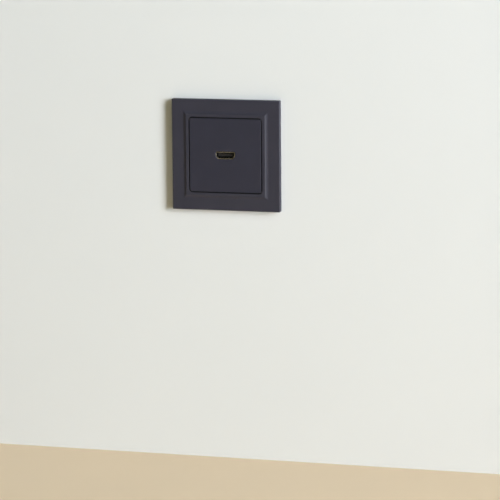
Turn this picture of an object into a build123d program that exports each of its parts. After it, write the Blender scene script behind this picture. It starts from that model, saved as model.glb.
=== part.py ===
"""A flush wall socket with one video port: cover frame, centre plate and the insert behind them.

Sizes are in millimetres and +Z is up. The wall's face is the plane Y = 0. The front looks along -Y and
the insert reaches into the wall along +Y. Outlines are drawn on the wall's face and depths are measured
out from it: positive in front of the wall, negative inside it.
"""

import os
from math import cos, hypot, radians, sqrt, tan

from build123d import *

# Cover frame
FRAME_SIZE = 83.0
FRAME_WALL = 1.6
FRAME_CORNER_RADIUS = 0.6
FRAME_EDGE_RADIUS = 0.3
RIM_HEIGHT = 0.9
RIM_LIP_WIDTH = 2.2
RIM_SLOPE_WIDTH = 2.7
RIM_COVE = 0.2
RIM_EDGE_RADIUS = 0.2
LEDGE_THICKNESS = 1.5
LEDGE_BEARING = 2.2
LIP_WALL = 1.3
RIB_THICKNESS = 1.0
RIB_SPACING = 12.0

# Centre plate
PLATE_SIZE = 55.0
PLATE_THICKNESS = 2.2
PLATE_PROUD = 0.15
PLATE_SPACE = 0.95
PLATE_CORNER_RADIUS = 1.8
PLATE_EDGE_RADIUS = 0.2
SKIRT_WALL = 1.4
COLLAR_WALL = 1.2
MOUTH_CHAMFER = 0.3
HOOK_WIDTH = 5.0
HOOK_THICKNESS = 1.2
HOOK_BARB = 0.8
HOOK_BARB_LENGTH = 2.2
HOOK_SPACING = 18.0
HOOK_OFFSET = 1.5

# Support ring
RING_THICKNESS = 1.0
RING_CORNER_RADIUS = 6.0
SLOT_SPACING = 60.0
SLOT_LENGTH = 6.5
SLOT_WIDTH = 3.6
LUG_WIDTH = 10.0
LUG_REACH = 4.0
CORNER_HOLE_EDGE = 7.0
CORNER_HOLE_DIAMETER = 3.2

# Carrier plate and the rivets through it
CARRIER_THICKNESS = 1.6
CARRIER_CORNER_RADIUS = 2.0
RIVET_DIAMETER = 2.5
RIVET_HEAD_DIAMETER = 4.4
RIVET_HEAD_HEIGHT = 0.7
RIVET_EDGE = 3.0

# Base housing and back cover
BASE_FLANGE_THICKNESS = 1.6
BASE_WIDTH = 34.0
BASE_HEIGHT = 32.0
BASE_DEPTH = 16.0
BASE_WALL = 1.6
BASE_CORNER_RADIUS = 1.5
COVER_THICKNESS = 1.6
COVER_SPACE = 1.85
COVER_RIM_WALL = 1.0
COVER_RIM_LENGTH = 1.2
BOSS_DIAMETER = 5.0
BOSS_SIDE_SPACE = 0.9
BOSS_END_SPACE = 2.4

# Circuit board
BOARD_THICKNESS = 1.6
BOARD_CORNER_RADIUS = 1.0

# Ports
PORT_WIDTH = 14.0
PORT_HEIGHT = 4.55
PORT_CUT_WIDTH = 1.7
PORT_CUT_HEIGHT = 1.95
PORT_CORNER_RADIUS = 0.4
PORT_RECESS = 0.3
SHELL_WALL = 0.35
SHELL_STANDOFF = 0.3
LEG_WIDTH = 1.4
LEG_ROOT = 1.4
LEG_STICK_OUT = 0.8
LEAF_WIDTH = 2.2
LEAF_LENGTH = 4.5
LEAF_SLIT = 0.4
LEAF_SPACING = 6.4
LEAF_SETBACK = 1.8
BLOCK_LENGTH = 5.8
TONGUE_SIDE_SPACE = 1.3
TONGUE_EDGE = 0.7
TONGUE_THICKNESS = 1.4
TONGUE_RECESS = 1.7
CONTACT_WIDTH = 0.4
CONTACT_THICKNESS = 0.2
CONTACT_SETBACK = 0.4
UPPER_CONTACTS = 10
REAR_PORT_LENGTH = 11.5
REAR_TAIL_STEP = 0.7
REAR_LEG_SETBACK = 2.9
REAR_LEG_SPACING = 6.3

# Cover screws
COVER_SCREW_DIAMETER = 2.2
COVER_SCREW_END_SPACE = 1.7
COVER_SCREW_POINT = 0.55
COVER_HEAD_DIAMETER = 4.2
COVER_HEAD_HEIGHT = 1.3
COVER_CROSS_REACH = 2.5
COVER_CROSS_DEPTH = 0.8
CROSS_WIDTH = 0.7

# Spreading claws, their screws and nuts
CLAW_SCREW_SPACING = 44.8
CLAW_SCREW_DIAMETER = 3.0
CLAW_HEAD_DIAMETER = 5.5
CLAW_HEAD_HEIGHT = 1.9
CLAW_HEAD_RADIUS = 0.75
CLAW_SCREW_POINT = 0.6
CLAW_ANGLE = 30.0
CLAW_TRAVEL = 5.0
CLAW_THICKNESS = 1.4
CLAW_TOOTH = 2.9
CLAW_TOOTH_HEIGHT = 1.8
CLAW_PRONG_WIDTH = 2.8
CLAW_BRIDGE = 1.8
RAMP_STEP = 1.2
RAMP_FRONT_SPACE = 2.4
NUT_SIZE = 6.0
NUT_THICKNESS = 2.4
EAR_THICKNESS = 1.0
SCREW_END_SPACE = 1.5
CLAW_CROSS_REACH = 3.2
CLAW_CROSS_DEPTH = 1.1

# Clearances
PLATE_GAP = 0.8
SEAT_GAP = 0.05
LEDGE_GAP = 0.15
CARRIER_GAP = 0.3
RING_GAP = 4.4
HOOK_GAP = 0.3
CATCH_GAP = 0.1
COLLAR_GAP = 0.1
PORT_GAP = 0.25
BLOCK_GAP = 0.05
CONTACT_GAP = 0.02
LEG_GAP = 0.2
BOARD_GAP = 0.2
BOSS_GAP = 0.05
COVER_GAP = 0.15
SHANK_GAP = 0.05
SCREW_HOLE_GAP = 0.2
HEAD_GAP = 0.3
SLOT_GAP = 0.3
CLAW_REST_GAP = 0.3
CLAW_SLOT_GAP = 0.3
PRONG_GAP = 0.3
SLIDE_GAP = 0.1
NUT_GAP = 0.15
TURN_GAP = 0.05

# Depths worked out from the sizes above
ring_face = RING_THICKNESS
carrier_face = ring_face + CARRIER_THICKNESS
ledge_back = ring_face + LEDGE_GAP
ledge_face = ledge_back + LEDGE_THICKNESS
plate_back = carrier_face + PLATE_SPACE
plate_face = plate_back + PLATE_THICKNESS
rim_face = plate_face - PLATE_PROUD
frame_face = rim_face - RIM_HEIGHT
pocket_face = frame_face - FRAME_WALL
skirt_end = ledge_face + SEAT_GAP
port_mouth = plate_face - PORT_RECESS
flange_back = -BASE_FLANGE_THICKNESS
base_end = -BASE_DEPTH
shell_half_height = PORT_HEIGHT / 2 + SHELL_WALL
rear_port_depth = base_end + COVER_SPACE + shell_half_height
board_back = rear_port_depth + shell_half_height + SHELL_STANDOFF
board_front = board_back + BOARD_THICKNESS
cover_end = base_end - COVER_THICKNESS
claw_rest = cover_end - CLAW_REST_GAP
claw_back = claw_rest - CLAW_THICKNESS
nut_front = claw_back - SLIDE_GAP
nut_back = nut_front - NUT_THICKNESS
ramp_front = flange_back - RAMP_FRONT_SPACE
prong_front = ramp_front - CLAW_TRAVEL
claw_screw_end = nut_back - SCREW_END_SPACE

# Widths and places worked out from the sizes above
window_size = PLATE_SIZE + 2 * PLATE_GAP
rim_top = window_size + 2 * RIM_LIP_WIDTH
rim_foot = rim_top + 2 * RIM_SLOPE_WIDTH
ledge_opening = PLATE_SIZE - 2 * LEDGE_BEARING
carrier_size = ledge_opening - 2 * CARRIER_GAP
frame_inside = FRAME_SIZE - 2 * FRAME_WALL
lip_outside = window_size + 2 * LIP_WALL
ring_size = frame_inside - 2 * RING_GAP
corner_hole_place = ring_size / 2 - CORNER_HOLE_EDGE
hook_row = BASE_HEIGHT / 2 + HOOK_OFFSET
hook_tip = hook_row + HOOK_THICKNESS / 2 + HOOK_BARB
opening_radius = hypot(HOOK_SPACING / 2 + HOOK_WIDTH / 2, hook_tip) + HOOK_GAP
rivet_place = (opening_radius + RIVET_EDGE) / sqrt(2)
flange_radius = opening_radius + 2 * RIVET_EDGE
base_inside_width = BASE_WIDTH - 2 * BASE_WALL
base_inside_height = BASE_HEIGHT - 2 * BASE_WALL
boss_side = (base_inside_width - BOSS_DIAMETER) / 2 - BOSS_SIDE_SPACE
boss_row = (base_inside_height - BOSS_DIAMETER) / 2 - BOSS_END_SPACE
tongue_width = PORT_WIDTH - 2 * TONGUE_SIDE_SPACE
contact_pitch = (tongue_width - 2 * TONGUE_EDGE) / UPPER_CONTACTS
leg_place = PORT_WIDTH / 2 + SHELL_WALL / 2
rear_mouth = -BASE_HEIGHT / 2 + PORT_RECESS
shell_half_width = PORT_WIDTH / 2 + SHELL_WALL
claw_screw_place = CLAW_SCREW_SPACING / 2
claw_slot = CLAW_SCREW_DIAMETER + 2 * CLAW_SLOT_GAP
prong_inside = NUT_SIZE / 2 + PRONG_GAP
prong_outside = prong_inside + CLAW_PRONG_WIDTH
claw_slope = tan(radians(CLAW_ANGLE))

CORNERS = [(x, z) for x in (-1, 1) for z in (-1, 1)]
SIDES = (-1, 1)

WALL = Plane.XZ
LEVEL = Plane(origin=(0, 0, 0), x_dir=(1, 0, 0), z_dir=(0, 0, -1))
UPRIGHT = Plane(origin=(0, 0, 0), x_dir=(0, 0, 1), z_dir=(1, 0, 0))


def slab(outline, start, end):
    """An outline drawn on the wall, as a solid from one depth out to another."""
    return extrude(WALL.offset(start) * outline, amount=end - start, dir=WALL.z_dir)


def beam(plane, outline, half_length):
    """A side profile drawn on a plane square to the wall, as a solid reaching equally both ways."""
    return extrude(plane * outline, amount=half_length, both=True)


def square(size, radius=0.0):
    """A square outline, with rounded corners where a radius is given."""
    return RectangleRounded(size, size, radius) if radius else Rectangle(size, size)


def front_edges(solid):
    """The edges round the face that lies furthest out from the wall."""
    return solid.faces().sort_by(Axis.Y)[0].outer_wire().edges()


def left(solid):
    """The left-hand twin of a right-hand piece."""
    return mirror(solid, about=Plane.YZ)


def port_outline(grow=0.0):
    """The port's mouth, wide side up, grown by so much all round."""
    side = PORT_WIDTH / 2
    top = PORT_HEIGHT / 2
    right = [(side - PORT_CUT_WIDTH, -top), (side, PORT_CUT_HEIGHT - top), (side, top)]
    mirrored = [(-x, z) for x, z in reversed(right)]
    mouth = Polygon(*right, *mirrored, align=None)
    mouth = fillet(mouth.vertices(), PORT_CORNER_RADIUS)
    return offset(mouth, amount=grow) if grow else mouth


def cross_recess(start, end, reach):
    """A cross recess for a driver between two depths of a screw's head."""
    return slab(Rectangle(reach, CROSS_WIDTH) + Rectangle(CROSS_WIDTH, reach), start, end)


def head_spaces(start, end):
    """Room for the heads of the two claw screws between two depths."""
    hole = Circle(CLAW_HEAD_DIAMETER / 2 + HEAD_GAP)
    return [slab(Pos(s * claw_screw_place, 0) * hole, start, end) for s in SIDES]


def device_slots(grow=0.0):
    """The four slots for the wall box's screws, level and upright, grown by so much all round."""
    slot = SlotOverall(SLOT_LENGTH + 2 * grow, SLOT_WIDTH + 2 * grow)
    places = [(SLOT_SPACING / 2 * s, 0, 0) for s in SIDES] + [(0, SLOT_SPACING / 2 * s, 90) for s in SIDES]
    return [Pos(x, z) * Rot(0, 0, turn) * slot for x, z, turn in places]


def cover_frame():
    """The square frame: flat border, raised rim round the window, and the ledge the plate bears on."""
    border = slab(square(FRAME_SIZE, FRAME_CORNER_RADIUS), 0, frame_face)
    border = fillet(front_edges(border), FRAME_EDGE_RADIUS)
    low = rim_foot / 2
    high = rim_top / 2
    profile = make_face(
        Line((-low, ledge_back), (-low, frame_face))
        + SagittaArc((-low, frame_face), (-high, rim_face), -RIM_COVE)
        + Line((-high, rim_face), (high, rim_face))
        + SagittaArc((high, rim_face), (low, frame_face), -RIM_COVE)
        + Line((low, frame_face), (low, ledge_back))
        + Line((low, ledge_back), (-low, ledge_back))
    )
    rim = beam(LEVEL, profile, low) & beam(UPRIGHT, profile, low)
    pocket = square(frame_inside) - square(lip_outside)
    window = square(window_size, PLATE_CORNER_RADIUS + PLATE_GAP)
    frame = border + rim
    frame -= slab(square(frame_inside), 0, ledge_back)
    frame -= slab(pocket, ledge_back, pocket_face)
    frame -= slab(window, ledge_face, rim_face)
    frame = fillet(frame.faces().sort_by(Axis.Y)[0].inner_wires()[0].edges(), RIM_EDGE_RADIUS)
    frame -= slab(square(ledge_opening, CARRIER_CORNER_RADIUS + CARRIER_GAP), ledge_back, ledge_face)
    frame -= head_spaces(ledge_back, ledge_face)
    rib_length = (frame_inside - lip_outside) / 2
    rib_row = (frame_inside + lip_outside) / 4
    rib = Rectangle(RIB_THICKNESS, rib_length)
    side = Sketch() + [Pos(place * RIB_SPACING, rib_row) * rib for place in (-2, -1, 1, 2)]
    ribs = slab(side, ledge_back, pocket_face)
    return frame + [Rot(0, turn, 0) * ribs for turn in (0, 90, 180, 270)]


def plate_hook():
    """One snap hook at the top right of the plate's back: a leg with a barb behind the carrier plate."""
    outside = hook_row + HOOK_THICKNESS / 2
    catch = ring_face - CATCH_GAP
    tip = catch - HOOK_BARB_LENGTH
    leg = slab(Pos(0, hook_row) * Rectangle(HOOK_WIDTH, HOOK_THICKNESS), tip, plate_back)
    barb = Polygon((outside, catch), (outside + HOOK_BARB, catch), (outside, tip), align=None)
    return Pos(HOOK_SPACING / 2, 0, 0) * (leg + beam(UPRIGHT, barb, HOOK_WIDTH / 2))


def centre_plate():
    """The square plate with the port's cut-out, a skirt that bears on the frame's ledge, and four hooks."""
    plate = slab(square(PLATE_SIZE, PLATE_CORNER_RADIUS), plate_back, plate_face)
    plate = fillet(front_edges(plate), PLATE_EDGE_RADIUS)
    skirt = square(PLATE_SIZE, PLATE_CORNER_RADIUS) - square(PLATE_SIZE - 2 * SKIRT_WALL)
    plate += slab(skirt, skirt_end, plate_back)
    plate += slab(port_outline(SHELL_WALL + PORT_GAP + COLLAR_WALL), carrier_face + COLLAR_GAP, plate_back)
    plate -= slab(port_outline(SHELL_WALL + PORT_GAP), carrier_face, plate_face)
    plate -= head_spaces(skirt_end, ring_face + CLAW_HEAD_HEIGHT + HEAD_GAP)
    mouth = plate.faces().sort_by(Axis.Y)[0].inner_wires()[0].edges()
    plate = chamfer(mouth, MOUTH_CHAMFER)
    upper = plate_hook() + left(plate_hook())
    return plate + upper + mirror(upper, about=Plane.XY)


def hook_windows(grow):
    """Outlines of the four openings the plate's hooks pass through, grown past the leg by so much."""
    window = Rectangle(HOOK_WIDTH + 2 * HOOK_GAP, HOOK_THICKNESS + 2 * grow)
    return [Pos(x * HOOK_SPACING / 2, z * hook_row) * window for x, z in CORNERS]


def rivet_holes():
    """Outlines of the four rivet holes."""
    hole = Circle(RIVET_DIAMETER / 2 + SHANK_GAP)
    return [Pos(x * rivet_place, z * rivet_place) * hole for x, z in CORNERS]


def claw_screw_holes():
    """Outlines of the two holes the claw screws pass through."""
    hole = Circle(CLAW_SCREW_DIAMETER / 2 + SCREW_HOLE_GAP)
    return [Pos(s * claw_screw_place, 0) * hole for s in SIDES]


def support_ring():
    """The sheet-steel ring on the wall, with a lug each side for the claw screw and slots for box screws."""
    lug_end = claw_screw_place - LUG_REACH
    lug_length = opening_radius - lug_end
    lug = Rectangle(lug_length, LUG_WIDTH)
    opening = Circle(opening_radius) - [Pos(s * (lug_end + lug_length / 2), 0) * lug for s in SIDES]
    corner_hole = Circle(CORNER_HOLE_DIAMETER / 2)
    outline = square(ring_size, RING_CORNER_RADIUS) - opening
    outline -= [*device_slots(), *rivet_holes(), *claw_screw_holes()]
    outline -= [Pos(x * corner_hole_place, z * corner_hole_place) * corner_hole for x, z in CORNERS]
    return slab(outline, 0, ring_face)


def carrier_plate():
    """The moulded plate in front of the ring, which the centre plate snaps into."""
    notch_width = CLAW_HEAD_DIAMETER + 2 * HEAD_GAP
    notch = Pos(carrier_size / 4, 0) * Rectangle(carrier_size / 2, notch_width) + Circle(notch_width / 2)
    outline = square(carrier_size, CARRIER_CORNER_RADIUS) - port_outline(SHELL_WALL + PORT_GAP)
    outline -= [Pos(claw_screw_place, 0) * notch, Pos(-claw_screw_place, 0) * Rot(0, 0, 180) * notch]
    outline -= [*hook_windows(HOOK_GAP), *rivet_holes()]
    sink = Circle(RIVET_HEAD_DIAMETER / 2 + HEAD_GAP)
    sinks = [Pos(x * rivet_place, z * rivet_place) * sink for x, z in CORNERS]
    plate = slab(outline, ring_face, carrier_face)
    return plate - [slab(s, carrier_face - RIVET_HEAD_HEIGHT, carrier_face) for s in sinks]


def rivets():
    """Four rivets through the carrier plate, the ring and the housing's flange."""
    under_head = carrier_face - RIVET_HEAD_HEIGHT
    shank = slab(Circle(RIVET_DIAMETER / 2), flange_back, under_head)
    head = slab(Circle(RIVET_HEAD_DIAMETER / 2), under_head, carrier_face)
    closed = slab(Circle(RIVET_HEAD_DIAMETER / 2), flange_back - RIVET_HEAD_HEIGHT, flange_back)
    rivet = shank + head + closed
    return [Pos(x * rivet_place, 0, z * rivet_place) * rivet for x, z in CORNERS]


def ramp_side(depth):
    """How far out to the right the claw's ramp reaches at a depth."""
    return BASE_WIDTH / 2 + RAMP_STEP + (depth - claw_rest) * claw_slope


def ramps():
    """The pair of ramps on the housing's right side, one above and one below the claw screw."""
    side = BASE_WIDTH / 2
    crest = ramp_side(ramp_front)
    profile = Polygon(
        (side - BASE_WALL / 2, base_end),
        (ramp_side(base_end), base_end),
        (crest, ramp_front),
        (crest, flange_back),
        (side - BASE_WALL / 2, flange_back),
        align=None,
    )
    slot = Pos(side + crest / 2, (base_end + flange_back) / 2) * Rectangle(crest, flange_back - base_end)
    return beam(LEVEL, profile, prong_outside) - beam(LEVEL, slot, prong_inside)


def boss_places():
    """Where the board's bosses stand: the two with screws in the upper row, two plain ones below."""
    return [(x * boss_side, z * boss_row) for x, z in CORNERS]


def port_notch():
    """The notch in the housing's bottom wall that the rear port looks out of."""
    width = 2 * (shell_half_width + PORT_GAP)
    wall = Pos(0, -BASE_HEIGHT / 2 + BASE_WALL / 2) * Rectangle(width, BASE_WALL)
    return slab(wall, base_end, rear_port_depth + shell_half_height + PORT_GAP)


def base_housing():
    """The moulded housing behind the ring, open to the rear, with bosses for the board and the ramps."""
    outside = RectangleRounded(BASE_WIDTH, BASE_HEIGHT, BASE_CORNER_RADIUS)
    inside = Rectangle(base_inside_width, base_inside_height)
    flange = Circle(flange_radius) - port_outline(SHELL_WALL + PORT_GAP)
    flange -= [*rivet_holes(), *claw_screw_holes(), *device_slots(SLOT_GAP)]
    flange -= hook_windows(HOOK_BARB + HOOK_GAP)
    housing = slab(flange, flange_back, 0) + slab(outside - inside, base_end, flange_back)
    housing += [ramps(), left(ramps())]
    boss = Circle(BOSS_DIAMETER / 2)
    screw = Circle(COVER_SCREW_DIAMETER / 2 + SHANK_GAP)
    housing += [slab(Pos(x, z) * boss, board_front, flange_back) for x, z in boss_places()]
    screw_places = [(x, z) for x, z in boss_places() if z > 0]
    housing -= [slab(Pos(x, z) * screw, board_front, flange_back) for x, z in screw_places]
    return housing - port_notch()


def back_cover():
    """The cover screwed on behind the board, with a tab that closes the notch behind the rear port."""
    outside = RectangleRounded(BASE_WIDTH, BASE_HEIGHT, BASE_CORNER_RADIUS)
    rim_width = base_inside_width - 2 * COVER_GAP
    rim_height = base_inside_height - 2 * COVER_GAP
    rim = Rectangle(rim_width, rim_height)
    rim -= Rectangle(rim_width - 2 * COVER_RIM_WALL, rim_height - 2 * COVER_RIM_WALL)
    port_space = 2 * (shell_half_width + PORT_GAP)
    rim -= Pos(0, -BASE_HEIGHT / 2) * Rectangle(port_space, BASE_HEIGHT / 2)
    tab = Pos(0, -BASE_HEIGHT / 2 + BASE_WALL / 2) * Rectangle(port_space - 2 * COVER_GAP, BASE_WALL)
    cover = slab(outside, cover_end, base_end) + slab(rim, base_end, base_end + COVER_RIM_LENGTH)
    cover += slab(tab, base_end, rear_port_depth - shell_half_height - PORT_GAP)
    boss = Circle(BOSS_DIAMETER / 2)
    cover += [slab(Pos(x, z) * boss, base_end, board_back - BOSS_GAP) for x, z in boss_places()]
    hole = Circle(COVER_SCREW_DIAMETER / 2 + SCREW_HOLE_GAP)
    sink = Circle(COVER_HEAD_DIAMETER / 2 + SCREW_HOLE_GAP)
    for x, z in [place for place in boss_places() if place[1] > 0]:
        cover -= slab(Pos(x, z) * hole, cover_end, board_back)
        cover -= slab(Pos(x, z) * sink, cover_end, cover_end + COVER_HEAD_HEIGHT)
    return cover


def cover_screws():
    """The two screws that hold the back cover and the board to the housing."""
    under_head = cover_end + COVER_HEAD_HEIGHT
    head = slab(Circle(COVER_HEAD_DIAMETER / 2), cover_end, under_head)
    head -= cross_recess(cover_end, cover_end + COVER_CROSS_DEPTH, COVER_CROSS_REACH)
    shank = slab(Circle(COVER_SCREW_DIAMETER / 2), under_head, flange_back - COVER_SCREW_END_SPACE)
    shank = chamfer(front_edges(shank), COVER_SCREW_POINT)
    screw = head + shank
    return [Pos(x, 0, z) * screw for x, z in boss_places() if z > 0]


def circuit_board():
    """The board between the two ports, with holes for the cover screws and the shells' legs."""
    width = base_inside_width - 2 * BOARD_GAP
    height = base_inside_height - 2 * BOARD_GAP
    outline = RectangleRounded(width, height, BOARD_CORNER_RADIUS)
    hole = Circle(COVER_SCREW_DIAMETER / 2 + SCREW_HOLE_GAP)
    outline -= [Pos(x, z) * hole for x, z in boss_places() if z > 0]
    leg = Rectangle(SHELL_WALL + 2 * LEG_GAP, LEG_WIDTH + 2 * LEG_GAP)
    rows = [0, *(rear_mouth - place for place in rear_leg_places())]
    outline -= [Pos(s * leg_place, row) * leg for s in SIDES for row in rows]
    return slab(outline, board_back, board_front)


def spring_leaves(length):
    """The slits that free two spring leaves in each wide wall of a port's shell."""
    slit = Pos(0, -LEAF_SETBACK - LEAF_LENGTH / 2) * Rectangle(LEAF_WIDTH + 2 * LEAF_SLIT, LEAF_LENGTH)
    slit -= Pos(0, -LEAF_SETBACK - LEAF_LENGTH / 2 - LEAF_SLIT) * Rectangle(LEAF_WIDTH, LEAF_LENGTH)
    cut = beam(LEVEL, slit, length)
    return [Pos(s * LEAF_SPACING / 2, 0, 0) * cut for s in SIDES]


def port_shell(length):
    """A port's folded steel shell, its mouth on the wall plane and its length reaching inwards."""
    shell = slab(port_outline(SHELL_WALL) - port_outline(), -length, 0)
    return shell - spring_leaves(length)


def contact_places():
    """Where the middle of every contact lies across the tongue: an upper row, and a lower row between."""
    height = (TONGUE_THICKNESS - CONTACT_THICKNESS) / 2
    upper = [((i - (UPPER_CONTACTS - 1) / 2) * contact_pitch, height) for i in range(UPPER_CONTACTS)]
    lower = [(x + contact_pitch / 2, -height) for x, _ in upper[:-1]]
    return upper + lower


def port_insulator(length):
    """A port's insulator: a block filling the shell's back and a tongue with a groove for each contact."""
    tip = -TONGUE_RECESS
    block_front = -length + BLOCK_LENGTH
    block = slab(port_outline(-BLOCK_GAP), -length, block_front)
    tongue = slab(Rectangle(tongue_width, TONGUE_THICKNESS), block_front, tip)
    groove = Rectangle(CONTACT_WIDTH + 2 * CONTACT_GAP, CONTACT_THICKNESS)
    grooves = [slab(Pos(x, z) * groove, -length, tip - CONTACT_SETBACK) for x, z in contact_places()]
    return block + tongue - grooves


def port_contacts(length, board_drop=0.0):
    """A port's contacts, straight to the board, or bent down to a board so far below the port's middle."""
    strip = Rectangle(CONTACT_WIDTH, CONTACT_THICKNESS)
    contacts = []
    for x, z in contact_places():
        end = -length
        contact = slab(Pos(x, z) * strip, end, -TONGUE_RECESS - CONTACT_SETBACK)
        if board_drop:
            bend = end - REAR_TAIL_STEP * (2 if z > 0 else 1)
            top = z + CONTACT_THICKNESS / 2
            tail = Pos(x, (top - board_drop) / 2) * Rectangle(CONTACT_WIDTH, top + board_drop)
            contact += slab(Pos(x, z) * strip, bend, end)
            contact += slab(tail, bend - CONTACT_THICKNESS, bend)
        contacts.append(contact)
    return contacts


def rear_leg_places():
    """How far in from the rear port's mouth its two pairs of legs stand."""
    return [-REAR_LEG_SETBACK, -REAR_LEG_SETBACK - REAR_LEG_SPACING]


front_port_length = port_mouth - board_front
FRONT_PORT = Pos(0, -port_mouth, 0)
REAR_PORT = Pos(0, -rear_port_depth, rear_mouth) * Rot(0, 0, 180) * Rot(90, 0, 0)


def front_port_shell():
    """The front port's shell, with a leg each side through the board."""
    length = front_port_length - SHELL_STANDOFF
    leg_end = -front_port_length - BOARD_THICKNESS - LEG_STICK_OUT
    leg = Rectangle(SHELL_WALL, LEG_WIDTH)
    legs = [slab(Pos(s * leg_place, 0) * leg, leg_end, -length + LEG_ROOT) for s in SIDES]
    return FRONT_PORT * (port_shell(length) + legs)


def rear_port_shell():
    """The rear port's shell, lying on the board's back with its mouth down and four legs in the board."""
    drop = shell_half_height + SHELL_STANDOFF + BOARD_THICKNESS + LEG_STICK_OUT
    leg = Pos(0, -drop / 2) * Rectangle(SHELL_WALL, drop)
    shell = port_shell(REAR_PORT_LENGTH)
    for place in rear_leg_places():
        ends = (place - LEG_WIDTH / 2, place + LEG_WIDTH / 2)
        shell += [slab(Pos(s * leg_place, 0) * leg, *ends) for s in SIDES]
    return REAR_PORT * shell


def claw_side(depth):
    """How far out to the right the claw's sliding side lies at a depth, with the claw at rest."""
    return ramp_side(depth) + SLIDE_GAP / cos(radians(CLAW_ANGLE))


def claw():
    """The right claw at rest: a bridge across the screw, ears round the nut and two toothed prongs."""
    inner = claw_side(claw_rest)
    outer = claw_screw_place + claw_slot / 2 + CLAW_BRIDGE
    width = CLAW_THICKNESS / cos(radians(CLAW_ANGLE))
    front = claw_side(prong_front)
    middle = (inner + outer) / 2
    bridge = Pos(middle, 0) * Rectangle(outer - inner, 2 * prong_outside)
    slot_length = claw_screw_place - inner
    bridge -= Pos(inner + slot_length / 2, 0) * Rectangle(slot_length, claw_slot)
    bridge -= Pos(claw_screw_place, 0) * Circle(claw_slot / 2)
    ear_row = NUT_SIZE / 2 + NUT_GAP + EAR_THICKNESS / 2
    ear = Rectangle(outer - inner, EAR_THICKNESS)
    ears = [slab(Pos(middle, s * ear_row) * ear, nut_back, claw_back) for s in SIDES]
    prong = Polygon(
        (inner, claw_back),
        (inner, claw_rest),
        (front, prong_front),
        (front + width + CLAW_TOOTH, prong_front),
        (claw_side(prong_front - CLAW_TOOTH_HEIGHT) + width, prong_front - CLAW_TOOTH_HEIGHT),
        (inner + width, claw_rest),
        (inner + width, claw_back),
        align=None,
    )
    prongs = beam(LEVEL, prong, prong_outside) - beam(LEVEL, prong, prong_inside)
    return slab(bridge, claw_back, claw_rest) + ears + prongs


def claw_screw():
    """The right claw screw, its head in front of the ring and its shank reaching back through the nut."""
    under_head = ring_face + TURN_GAP
    face = under_head + CLAW_HEAD_HEIGHT
    head = slab(Circle(CLAW_HEAD_DIAMETER / 2), under_head, face)
    head = fillet(front_edges(head), CLAW_HEAD_RADIUS)
    head -= cross_recess(face - CLAW_CROSS_DEPTH, face, CLAW_CROSS_REACH)
    shank = slab(Circle(CLAW_SCREW_DIAMETER / 2), claw_screw_end, under_head)
    shank = chamfer(shank.faces().sort_by(Axis.Y)[-1].edges(), CLAW_SCREW_POINT)
    return Pos(claw_screw_place, 0, 0) * (head + shank)


def claw_nut():
    """The square nut on the right claw screw, behind the claw's bridge."""
    nut = square(NUT_SIZE) - Circle(CLAW_SCREW_DIAMETER / 2 + TURN_GAP)
    return Pos(claw_screw_place, 0, 0) * slab(nut, nut_back, nut_front)


rear_board_drop = shell_half_height + SHELL_STANDOFF

PIECES = {
    "cover_frame": [cover_frame()],
    "centre_plate": [centre_plate()],
    "support_ring": [support_ring()],
    "carrier_plate": [carrier_plate()],
    "rivets": rivets(),
    "base_housing": [base_housing()],
    "back_cover": [back_cover()],
    "cover_screws": cover_screws(),
    "circuit_board": [circuit_board()],
    "front_port_shell": [front_port_shell()],
    "front_port_insulator": [FRONT_PORT * port_insulator(front_port_length)],
    "front_port_contacts": [FRONT_PORT * c for c in port_contacts(front_port_length)],
    "rear_port_shell": [rear_port_shell()],
    "rear_port_insulator": [REAR_PORT * port_insulator(REAR_PORT_LENGTH)],
    "rear_port_contacts": [REAR_PORT * c for c in port_contacts(REAR_PORT_LENGTH, rear_board_drop)],
    "claw_right": [claw()],
    "claw_left": [left(claw())],
    "claw_screw_right": [claw_screw()],
    "claw_screw_left": [left(claw_screw())],
    "claw_nut_right": [claw_nut()],
    "claw_nut_left": [left(claw_nut())],
}

os.makedirs("parts", exist_ok=True)
for name, solids in PIECES.items():
    export_step(Compound(children=[s for piece in solids for s in piece.solids()]), f"parts/{name}.step")
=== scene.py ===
"""Finishes, fine detail, stage and camera for a flush wall socket with one video port.

The file is laid out as an add-on and run as a script. Lengths are in metres, in the packed model's frame:
+X to the right, +Y into the wall, +Z up, with the wall's face at Y = 0.
"""

import math

import bmesh
import bpy
from bpy.props import FloatProperty, FloatVectorProperty, IntProperty, PointerProperty
from mathutils import Matrix, Vector


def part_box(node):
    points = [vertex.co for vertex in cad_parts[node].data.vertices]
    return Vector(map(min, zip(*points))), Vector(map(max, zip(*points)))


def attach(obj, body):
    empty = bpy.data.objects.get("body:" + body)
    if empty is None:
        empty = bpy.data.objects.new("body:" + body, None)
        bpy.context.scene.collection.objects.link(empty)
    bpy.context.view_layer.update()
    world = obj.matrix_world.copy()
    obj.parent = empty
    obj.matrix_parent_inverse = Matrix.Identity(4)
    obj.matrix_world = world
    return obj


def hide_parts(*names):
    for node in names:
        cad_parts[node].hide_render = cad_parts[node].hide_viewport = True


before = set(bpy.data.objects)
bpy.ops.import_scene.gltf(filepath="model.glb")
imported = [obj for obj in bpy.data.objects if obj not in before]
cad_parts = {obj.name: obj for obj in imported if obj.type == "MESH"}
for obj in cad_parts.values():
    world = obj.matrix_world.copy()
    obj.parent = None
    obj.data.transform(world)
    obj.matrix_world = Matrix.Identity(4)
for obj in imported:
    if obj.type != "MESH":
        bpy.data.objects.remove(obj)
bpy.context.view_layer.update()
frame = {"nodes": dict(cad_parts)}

bl_info = {
    "name": "Wall socket looks",
    "version": (1, 0, 0),
    "blender": (4, 5, 0),
    "location": "View3D > Sidebar > Wall socket",
    "description": "Finishes and fine detail for a flush wall socket with one video port",
    "category": "Object",
}

MM = 0.001
MICRON = 0.001 * MM
WHITE = (1.0, 1.0, 1.0)
# Points that lie closer than this become one.
MERGE_REACH = 0.1 * MICRON
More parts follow.
